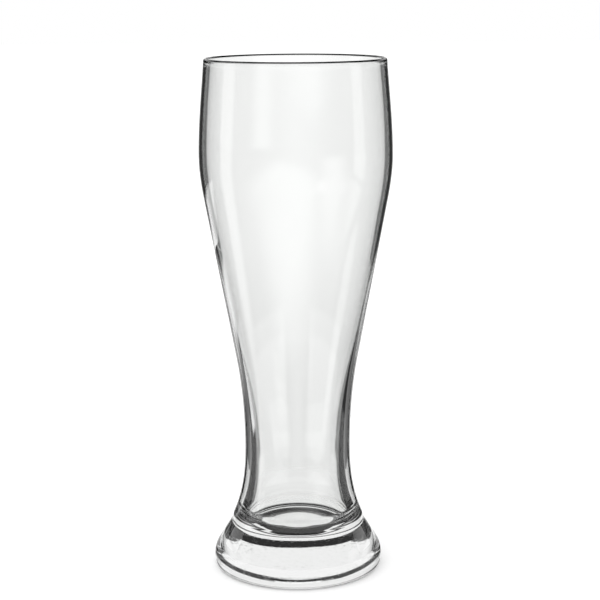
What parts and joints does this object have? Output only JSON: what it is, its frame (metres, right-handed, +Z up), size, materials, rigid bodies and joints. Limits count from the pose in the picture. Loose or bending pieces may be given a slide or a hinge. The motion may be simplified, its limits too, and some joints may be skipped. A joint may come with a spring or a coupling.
{
  "type": "weizen glass",
  "caption": "Tall clear beer glass with a wide belly, a slightly drawn-in rim, a long taper to a narrow thick waist and a heavy solid foot.",
  "frame": {"origin": "centre of the flat face that the foot stands on, at table level", "axes": "+Z up along the axis of the glass, +X and +Y any two square directions across it"},
  "size_m": [0.0834, 0.0834, 0.225],
  "materials": {
    "glass": "clear fire-polished soda-lime glass"
  },
  "bodies": {
    "root": {"foot": "glass", "waist": "glass", "bowl": "glass", "rim": "glass"}
  },
  "joints": []
}
